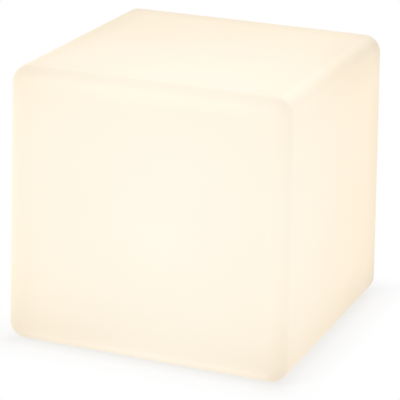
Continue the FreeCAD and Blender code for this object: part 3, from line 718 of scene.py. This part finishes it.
def makeShell():
    past, wall = shell["past"], shell["wall"]
    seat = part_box("threaded_inserts")[0].z
    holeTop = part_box("threaded_inserts")[1].z + shell["holeSpare"]
    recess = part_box("lamp_base")[1].x + shell["recessGap"]
    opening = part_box("light_dome")[1].x + shell["openingGap"]
    footLow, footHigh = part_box("foot_back_right")
    footReach = (footLow.x + footHigh.x) / 2
    dimple = (footHigh.x - footLow.x) / 2 + shell["footGap"]

    cavity = shellBlock("cavity", wall, shell["innerSteps"])
    well = rodOf("well", recess + wall, shellLow.z, seat + wall, steps=160)
    boss = rodOf("boss", shell["insertRadius"] + shell["bossWall"], seat, holeTop + shell["bossCap"])
    cavity = combined(cavity, well, "DIFFERENCE")
    cavity = combined(cavity, ringOf("bosses", boss, screwCount, screwCircle, "shell_plastic"), "DIFFERENCE")

    skin = shellBlock("shellSkin", 0.0, shell["steps"])
    skin = combined(skin, cavity, "DIFFERENCE")
    low = shellLow.z - shell["touch"]
    flare = recess + shell["rimRadius"]
    cutter = turned("recess", [
        (0, low - past, 0), (flare, low - past, 0), (flare, low - shell["touch"], 0),
        (recess, low, shell["rimRadius"]), (recess, seat, 0), (opening, seat, 0),
        (opening, seat + wall + past, 0), (0, seat + wall + past, 0),
    ], steps=192)
    skin = combined(skin, cutter, "DIFFERENCE")
    dimples = rodOf("dimple", dimple, shellLow.z - past, footHigh.z)
    dimples = rowsOf("dimples", dimples, 2, 2, 2 * footReach, 2 * footReach, "shell_plastic")
    skin = combined(skin, dimples, "DIFFERENCE")
    hole = rodOf("hole", shell["insertRadius"], seat - past, holeTop)
    skin = combined(skin, ringOf("holes", hole, screwCount, screwCircle, "shell_plastic"), "DIFFERENCE")
    dressed(skin, "shell_plastic", sharpFrom=28)
    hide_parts("cube_shell")


makeShell()
print("shell made")


# Feet: round rubber pads with grooves that shed water and grip

foot = {"grooves": (4.6 * mm, 6.8 * mm, 9.0 * mm), "half": 0.45 * mm, "slope": 0.15 * mm, "depth": 0.5 * mm,
        "hollow": 2.6 * mm, "edge": 0.8 * mm, "soft": 0.12 * mm, "touch": 0.02 * mm}


def makeFeet():
    low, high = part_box("foot_back_right")
    radius = (high.x - low.x) / 2
    top = high.z - foot["touch"]
    depth, soft, half, slope = foot["depth"], foot["soft"], foot["half"], foot["slope"]
    corners = [(0, depth, 0), (foot["hollow"], depth, soft), (foot["hollow"] + depth, 0, soft)]
    for middle in foot["grooves"]:
        corners += [(middle - half, 0, soft), (middle - half + slope, depth, soft)]
        corners += [(middle + half - slope, depth, soft), (middle + half, 0, soft)]
    corners += [(radius, 0, foot["edge"]), (radius, top, soft), (0, top, 0)]
    pad = turned("pad", corners)
    reach = low.x + high.x
    feet = rowsOf("feet", pad, 2, 2, reach, reach, "foot_rubber")
    dressed(feet, "foot_rubber")
    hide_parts("foot_front_left", "foot_front_right", "foot_back_left", "foot_back_right")


makeFeet()
print("feet made")


# Lamp base: stiffening ribs between two beads, and a guard round the button

baseRibs = {"count": 40, "from": 57.0 * mm, "to": 67.2 * mm, "half": 0.6 * mm, "proud": 0.8 * mm,
            "softShare": 0.6, "taper": 0.6 * mm, "tipShare": 0.4, "sunk": 0.1 * mm,
            "beads": (55.6 * mm, 68.6 * mm), "beadHalf": 0.7 * mm, "beadProud": 0.6 * mm}
buttonGuard = {"inner": 7.4 * mm, "outer": 9.2 * mm, "proud": 0.8 * mm}


def loopBead(name, inner, outer, low, high, place=(0.0, 0.0), softShare=0.45):
    soft = min(outer - inner, high - low) * softShare
    corners = [(inner, low, soft), (outer, low, soft), (outer, high, 0), (inner, high, 0)]
    return turned(name, corners, place, steps=160)


def joined(name, pieces):
    shape = bmesh.new()
    for piece in pieces:
        shape.from_mesh(piece.data)
        bpy.data.objects.remove(piece)
    mesh = bpy.data.meshes.new(name)
    shape.to_mesh(mesh)
    shape.free()
    return addObject(name, mesh)


def makeBaseRibs():
    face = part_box("lamp_base")[0].z
    top = face + baseRibs["sunk"]
    low = face - baseRibs["proud"]
    half, taper, tip = baseRibs["half"], baseRibs["taper"], baseRibs["tipShare"]
    soft = half * baseRibs["softShare"]
    length = (baseRibs["to"] - baseRibs["from"]) / 2
    section = softened([(-half, low, soft), (half, low, soft), (half, top, 0), (-half, top, 0)], steps=3)
    rib = swept("rib", section, [(-length, tip), (taper - length, 1), (length - taper, 1), (length, tip)])
    radius = (baseRibs["from"] + baseRibs["to"]) / 2
    parts = [ringOf("ribs", rib, baseRibs["count"], radius, "base_plastic")]
    wide = baseRibs["beadHalf"]
    for bead in baseRibs["beads"]:
        parts.append(loopBead("bead", bead - wide, bead + wide, face - baseRibs["beadProud"], top))
    parts.append(loopBead("guard", buttonGuard["inner"], buttonGuard["outer"],
                          face - buttonGuard["proud"], top, middleOf("power_button")))
    dressed(joined("baseRibs", parts), "base_plastic")


makeBaseRibs()


# Bolts that hold the lamp base, with a hex socket and a softened head

bolt = {"edge": 0.5 * mm, "underHead": 0.1 * mm, "flatsShare": 0.75, "depthShare": 0.55, "shank": 2.0 * mm,
        "tip": 0.4 * mm, "past": 1 * mm}


def makeBolts():
    low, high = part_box("flange_screws")
    head = high.x - screwCircle
    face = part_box("lamp_base")[0].z
    shank = bolt["shank"]
    corners = [(0, low.z, 0), (head, low.z, bolt["edge"]), (head, face, bolt["underHead"]), (shank, face, 0),
               (shank, high.z, bolt["tip"]), (0, high.z, 0)]
    body = turned("bolt", corners, steps=48)
    depth = (face - low.z) * bolt["depthShare"]
    hexRadius = head * bolt["flatsShare"] / math.sqrt(3)
    socket = rodOf("socket", hexRadius, low.z - bolt["past"], low.z + depth, steps=6)
    body = combined(body, socket, "DIFFERENCE")
    bolts = ringOf("flangeBolts", body, screwCount, screwCircle, "screw_steel")
    dressed(bolts, "screw_steel")
    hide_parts("flange_screws")


makeBolts()
print("lamp base dressed")


# Power button with a dished face and a raised dot, and its silicone boot

button = {"cap": 6.0 * mm, "edge": 0.6 * mm, "collar": 1.2 * mm, "soft": 0.1 * mm,
          "dish": 4.4 * mm, "dishDepth": 0.5 * mm, "dishRim": 0.3 * mm,
          "slopeShare": 0.6, "slopeDepth": 0.32 * mm, "slopeRadius": 3 * mm,
          "dot": 0.8 * mm, "dotDepth": 0.1 * mm, "dotSideDepth": 0.15 * mm, "dotEdge": 0.2 * mm}
boot = {"wall": 0.8 * mm, "lip": 1.0 * mm, "lipWidth": 1.3 * mm, "bend": 0.3 * mm, "fillet": 0.2 * mm,
        "soft": 0.1 * mm}


def makeButton():
    low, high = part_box("power_button")
    collar = (high.x - low.x) / 2
    face, top = low.z, high.z
    ledge = top - button["collar"]
    dished = face + button["dishDepth"]
    dot, soft = button["dot"], button["soft"]
    cap = turned("buttonCap", [
        (0, face + button["dotDepth"], 0), (dot, face + button["dotSideDepth"], button["dotEdge"]),
        (dot + button["dotEdge"], dished, soft),
        (button["dish"] * button["slopeShare"], face + button["slopeDepth"], button["slopeRadius"]),
        (button["dish"], face, button["dishRim"]), (button["cap"], face, button["edge"]),
        (button["cap"], ledge, 0), (collar, ledge, soft), (collar, top, soft), (0, top, 0),
    ], middleOf("power_button"))
    dressed(cap, "button_plastic", "button")
    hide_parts("power_button")


def makeBoot():
    low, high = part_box("button_seal")
    flange = (high.x - low.x) / 2
    outer = flange - boot["lipWidth"]
    inner = outer - boot["wall"]
    roof = high.z - boot["wall"]
    lip = low.z + boot["lip"]
    bend, soft = boot["bend"], boot["soft"]
    place = middleOf("button_seal")
    cap = turned("buttonBoot", [
        (0, roof, 0), (inner, roof, bend), (inner, low.z, soft), (flange, low.z, soft), (flange, lip, soft),
        (outer, lip, boot["fillet"]), (outer, high.z, bend), (0, high.z, 0),
    ], place)
    dressed(cap, "seal_rubber", None)
    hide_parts("button_seal")
    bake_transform(cap)


makeButton()
makeBoot()
print("button made")


# Charge port cover: a silicone disc with a nub, a ridged tab, and a strap, narrower at the hinge, that runs to its
# anchor

cover = {
    "thickness": 1.8 * mm, "disc": 9.5 * mm, "edge": 0.8 * mm, "soft": 0.3 * mm, "dishFrom": 6.6 * mm,
    "dishDepth": 0.35 * mm, "nub": 3.0 * mm, "nubRoot": 0.2 * mm, "nubTip": 0.5 * mm,
    "strap": 1.0 * mm, "strapHalf": 3.0 * mm, "strapFrom": 0.7, "bendReach": 2.2 * mm, "waist": 0.82,
    "waistLength": 1.2 * mm, "touch": 0.01 * mm,
    "anchorHead": 4.2 * mm, "anchorEdge": 0.5 * mm, "underHead": 0.1 * mm, "anchorStem": 2.5 * mm,
    "anchorBarb": 3.4 * mm, "barb": 1.6 * mm, "barbEdge": 0.2 * mm, "tipShare": 0.75, "tipEdge": 0.4 * mm,
}
tabRidge = {"count": 3, "step": 0.95 * mm, "firstStep": 1.6, "half": 0.2 * mm, "widthShare": 0.8,
            "proud": 0.25 * mm, "sunk": 0.2 * mm, "soft": 0.12 * mm}


def bar(name, start, end, half, low, high, soft, y=0.0, waistAt=None, step=0.4 * mm):
    # a straight bar with softened long edges, narrower around waistAt
    corners = [(-half, low, soft), (half, low, soft), (half, high, soft), (-half, high, soft)]
    section = softened(corners, steps=3)
    count = max(2, round((end - start) / step))
    stations = []
    for index in range(count + 1):
        x = start + (end - start) * index / count
        narrow = 0.0 if waistAt is None else math.exp(-((x - waistAt) / cover["waistLength"]) ** 2)
        stations.append((x, 1 - (1 - cover["waist"]) * narrow))
    return swept(name, section, stations, y)


def makeCover():
    low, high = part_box("port_cover")
    anchorLow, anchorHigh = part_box("port_cover_anchor")
    hinge = next(joint for joint in frame["joints"] if joint["name"] == "port_cover_hinge")["pos_m"]
    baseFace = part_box("lamp_base")[0].z
    place = middleOf("charge_socket")
    top = low.z + cover["thickness"]
    level = top - cover["strap"]
    dish, dished = cover["dishFrom"], low.z + cover["dishDepth"]
    soft, touch, half = cover["soft"], cover["touch"], cover["strapHalf"]
    disc = turned("portCoverRubber", [
        (0, dished, 0), (dish, dished, soft), (dish + cover["dishDepth"], low.z, soft),
        (cover["disc"], low.z, cover["edge"]), (cover["disc"], top, soft),
        (cover["nub"], top, cover["nubRoot"]), (cover["nub"], high.z, cover["nubTip"]), (0, high.z, 0),
    ], place)
    head, stem, barb = cover["anchorHead"], cover["anchorStem"], cover["anchorBarb"]
    barbFoot = anchorHigh.z - cover["barb"]
    anchorPlace = (anchorHigh.x - head, hinge[1])
    anchor = turned("anchor", [
        (0, anchorLow.z, 0), (head, anchorLow.z, cover["anchorEdge"]), (head, baseFace, cover["underHead"]),
        (stem, baseFace, 0), (stem, barbFoot, 0), (barb, barbFoot, cover["barbEdge"]),
        (barb * cover["tipShare"], anchorHigh.z, cover["tipEdge"]), (0, anchorHigh.z, 0),
    ], anchorPlace, steps=64)
    inside = cover["disc"] * cover["strapFrom"]
    strap = bar("strap", place[0] + inside, anchorPlace[0], half, level + touch, top - touch, soft, hinge[1],
                hinge[0])
    tab = bar("tab", low.x, place[0] - inside, half, level + touch, top - touch, soft, hinge[1])
    for other in (strap, tab, anchor):
        disc = combined(disc, other, "UNION")
    dressed(disc, "cover_rubber", None)
    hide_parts("port_cover", "port_cover_anchor")
    hinge[0] + cover["bendReach"]
    hinge[0] - cover["bendReach"]
    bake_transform(disc)
    ridge = bar("ridge", -tabRidge["half"], tabRidge["half"], half * tabRidge["widthShare"],
                level - tabRidge["proud"], level + tabRidge["sunk"], tabRidge["soft"])
    middle = low.x + tabRidge["step"] * tabRidge["firstStep"]
    count = tabRidge["count"]
    width = tabRidge["step"] * (count - 1)
    ridges = rowsOf("tabRidges", ridge, count, 1, width, 0.0, "cover_rubber", (middle, hinge[1], 0.0))
    dressed(ridges, "cover_rubber", "cover")


makeCover()
print("charge port cover made")


# Pressure vent with radial slots, and the indicator's lens

vent = {"bore": 1.6 * mm, "boreEdge": 0.2 * mm, "edge": 0.6 * mm, "underHead": 0.1 * mm, "stem": 3.2 * mm,
        "barb": 4.0 * mm, "barbHeight": 1.4 * mm, "barbEdge": 0.2 * mm, "tipShare": 0.86, "tipEdge": 0.3 * mm,
        "slots": 8, "slotRing": 3.7 * mm, "slotReach": 1.2 * mm, "slotHalf": 0.35 * mm, "slotDepth": 0.5 * mm,
        "slotSoft": 0.1 * mm}
lens = {"radius": 2.5 * mm, "collarHeight": 1.0 * mm, "dome": 0.12 * mm, "slopeShare": 0.7, "slopeDome": 0.4,
        "slopeRadius": 6 * mm, "rim": 0.15 * mm, "edge": 0.2 * mm, "soft": 0.1 * mm}


def makeVent():
    low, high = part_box("pressure_vent")
    place = middleOf("pressure_vent")
    flange = (high.x - low.x) / 2
    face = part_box("lamp_base")[0].z
    floor = high.z - vent["barbHeight"]
    body = turned("ventPlug", [
        (vent["bore"], low.z, vent["boreEdge"]), (flange, low.z, vent["edge"]),
        (flange, face, vent["underHead"]), (vent["stem"], face, 0), (vent["stem"], floor, 0),
        (vent["barb"], floor, vent["barbEdge"]), (vent["barb"] * vent["tipShare"], high.z, vent["tipEdge"]),
        (vent["bore"], high.z, 0),
    ], place)
    depth = vent["slotDepth"]
    slot = bar("slot", -vent["slotReach"], vent["slotReach"], vent["slotHalf"], low.z - depth, low.z + depth,
               vent["slotSoft"])
    slots = ringOf("slots", slot, vent["slots"], vent["slotRing"], "vent_plastic", (*place, 0.0))
    dressed(combined(body, slots, "DIFFERENCE"), "vent_plastic")
    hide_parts("pressure_vent")


def makeLens():
    low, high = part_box("indicator_window")
    collar = (high.x - low.x) / 2
    radius, soft, dome = lens["radius"], lens["soft"], lens["dome"]
    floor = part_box("button_seal")[0].z
    ledge = floor + lens["collarHeight"]
    body = turned("indicatorLens", [
        (0, low.z - dome, 0),
        (radius * lens["slopeShare"], low.z - dome * lens["slopeDome"], lens["slopeRadius"]),
        (radius, low.z + lens["rim"], lens["edge"]), (radius, floor, 0), (collar, floor, soft),
        (collar, ledge, soft), (radius, ledge, 0), (radius, high.z, soft), (0, high.z, 0),
    ], middleOf("indicator_window"))
    dressed(body, "window_clear")
    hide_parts("indicator_window")


makeVent()
makeLens()


# LED chips in two rings: a square case with a low round lens of phosphor

chips = {"side": 5 * mm, "case": 1.1 * mm, "caseEdge": 0.2 * mm, "inner": 8, "outer": 16,
         "ringStep": 16 * mm, "lens": 2.0 * mm, "lensFoot": 0.3 * mm, "lensRim": 0.1 * mm,
         "lensTopShare": 0.7, "lensEdge": 0.4 * mm}


def makeChips():
    low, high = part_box("led_chips")
    half = chips["side"] / 2
    outer = high.x - half
    top, lensFoot = low.z + chips["case"], low.z + chips["lensFoot"]
    radiusOfLens = chips["lens"]
    rings = []
    for count, radius in ((chips["inner"], outer - chips["ringStep"]), (chips["outer"], outer)):
        case = bar("case", -half, half, half, low.z, top, chips["caseEdge"])
        dome = turned("lens", [
            (0, lensFoot, 0), (radiusOfLens, lensFoot, 0), (radiusOfLens, top + chips["lensRim"], 0),
            (radiusOfLens * chips["lensTopShare"], high.z, chips["lensEdge"]), (0, high.z, 0),
        ], steps=24)
        rings.append(ringOf("chipRing", combined(case, dome, "UNION"), count, radius, "led_package"))
    made = joined("ledChips", rings)
    dressed(made, "led_package")
    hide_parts("led_chips")


makeChips()
print("vent, lens and chips made")


# Stage: a pale floor that keeps the contact shadow, soft lamps and a white surround; lengths in metres

stage = {
    "floorHalf": 6.0, "floor": (0.95, 0.97, 1.0, 1.0),
    "whiteShare": 0.70, "whiteFrom": 0.205, "whiteTo": 0.255,
    "contact": (0.89, 0.885, 0.875, 1.0), "contactFrom": 0.176, "contactTo": 0.216,
    "surround": (0.64, 0.64, 0.64, 1.0), "white": (1.0, 1.0, 1.0, 1.0),
    "lamps": (
        {"name": "keySoftbox", "place": (-1.5, -2.5, 2.1), "size": 2.4, "watts": 36},
        {"name": "backSoftbox", "place": (0.3, 2.4, 1.8), "size": 2.0, "watts": 18},
        {"name": "sideSoftbox", "place": (2.8, -0.6, 1.6), "size": 2.0, "watts": 11},
        {"name": "lowSoftbox", "place": (-0.6, -0.7, -1.8), "size": 0.9, "watts": 13},
    ),
}


def seenDirectly(graph):
    # 1 for the camera and for what shows in gloss or through clear parts
    path = graph.node("ShaderNodeLightPath", output="Is Camera Ray")
    for kind in ("Is Glossy Ray", "Is Transmission Ray"):
        path = path.at("MAXIMUM", graph.node("ShaderNodeLightPath", output=kind))
    return path


def makeFloor():
    # to the camera: part white by the object, with a painted contact shade, and all white further out
    reach = stage["floorHalf"]
    corners = [(-reach, -reach, 0), (reach, -reach, 0), (reach, reach, 0), (-reach, reach, 0)]
    floor = addObject("floor", meshOf("floor", corners, [(0, 1, 2, 3)]))
    material, graph = newMaterial("paleFloor")
    across, along = axesOf(graph, objectPlace(graph))[:2]
    away = across.at("ABSOLUTE").at("MAXIMUM", along.at("ABSOLUTE"))
    share = eased(graph, away, stage["whiteFrom"], stage["whiteTo"], stage["whiteShare"], 1.0)
    unshaded = eased(graph, away, stage["contactFrom"], stage["contactTo"])
    lit = graph.node("ShaderNodeBsdfDiffuse", None, {"Color": stage["floor"]})
    shade = blended(graph, unshaded, stage["contact"], stage["white"])
    white = graph.node("ShaderNodeEmission", None, {"Color": shade, "Strength": 1.0})
    shown = graph.node("ShaderNodeMixShader", None, {0: seenDirectly(graph) * share, 1: lit, 2: white})
    fromBelow = graph.node("ShaderNodeNewGeometry", output="Backfacing")
    clear = graph.node("ShaderNodeBsdfTransparent")
    skin = graph.node("ShaderNodeMixShader", None, {0: fromBelow, 1: shown, 2: clear})
    graph.node("ShaderNodeOutputMaterial", None, {"Surface": skin})
    floor.data.materials.append(material)
    floor.visible_diffuse = False       # the underside gets the light of the low softbox and the surround
    floor.visible_shadow = False


def makeWorld():
    world = bpy.data.worlds.new("surround")
    world.use_nodes = True
    world.node_tree.nodes.clear()
    graph = Graph(world.node_tree)
    colour = blended(graph, seenDirectly(graph), stage["surround"], stage["white"])
    light = graph.node("ShaderNodeBackground", None, {"Color": colour, "Strength": 1.0})
    graph.node("ShaderNodeOutputWorld", None, {"Surface": light})
    bpy.context.scene.world = world


def makeLamps():
    aim = (cadBox[0] + cadBox[1]) / 2
    for lamp in stage["lamps"]:
        data = bpy.data.lights.new(lamp["name"], "AREA")
        data.shape = "DISK"
        data.size = lamp["size"]
        data.energy = lamp["watts"]
        made = bpy.data.objects.new(lamp["name"], data)
        bpy.context.scene.collection.objects.link(made)
        made.location = lamp["place"]
        made.rotation_euler = (aim - Vector(lamp["place"])).to_track_quat("-Z", "Y").to_euler()


makeFloor()
makeWorld()
makeLamps()
print("stage made")


# Camera at the photograph's angle; angles in degrees, lengths in metres

photo = {"aim": (0.0, 0.0, 0.192), "azimuth": 22.183, "elevation": 18.436, "distance": 2.7881,
         "pan": -0.005, "tilt": 0.463, "roll": 1.058, "lens": 183.03, "nearest": 0.1}


def outwards(azimuth, elevation):
    # the direction from the object towards a camera at these angles
    a, e = math.radians(azimuth), math.radians(elevation)
    return Vector((math.sin(a) * math.cos(e), -math.cos(a) * math.cos(e), math.sin(e)))


def makeCamera():
    data = bpy.data.cameras.new("photoCamera")
    data.lens = photo["lens"]
    data.clip_start = photo["nearest"]
    made = bpy.data.objects.new("photoCamera", data)
    bpy.context.scene.collection.objects.link(made)
    back = outwards(photo["azimuth"] + photo["pan"], photo["elevation"] + photo["tilt"])
    right = Vector((0, 0, 1)).cross(back).normalized()
    facing = Matrix((right, back.cross(right), back)).transposed()
    turn = facing @ Matrix.Rotation(math.radians(photo["roll"]), 3, "Z")
    spot = Vector(photo["aim"]) + outwards(photo["azimuth"], photo["elevation"]) * photo["distance"]
    made.matrix_world = Matrix.Translation(spot) @ turn.to_4x4()
    bpy.context.scene.camera = made


makeCamera()
bpy.context.scene.view_settings.view_transform = "Standard"
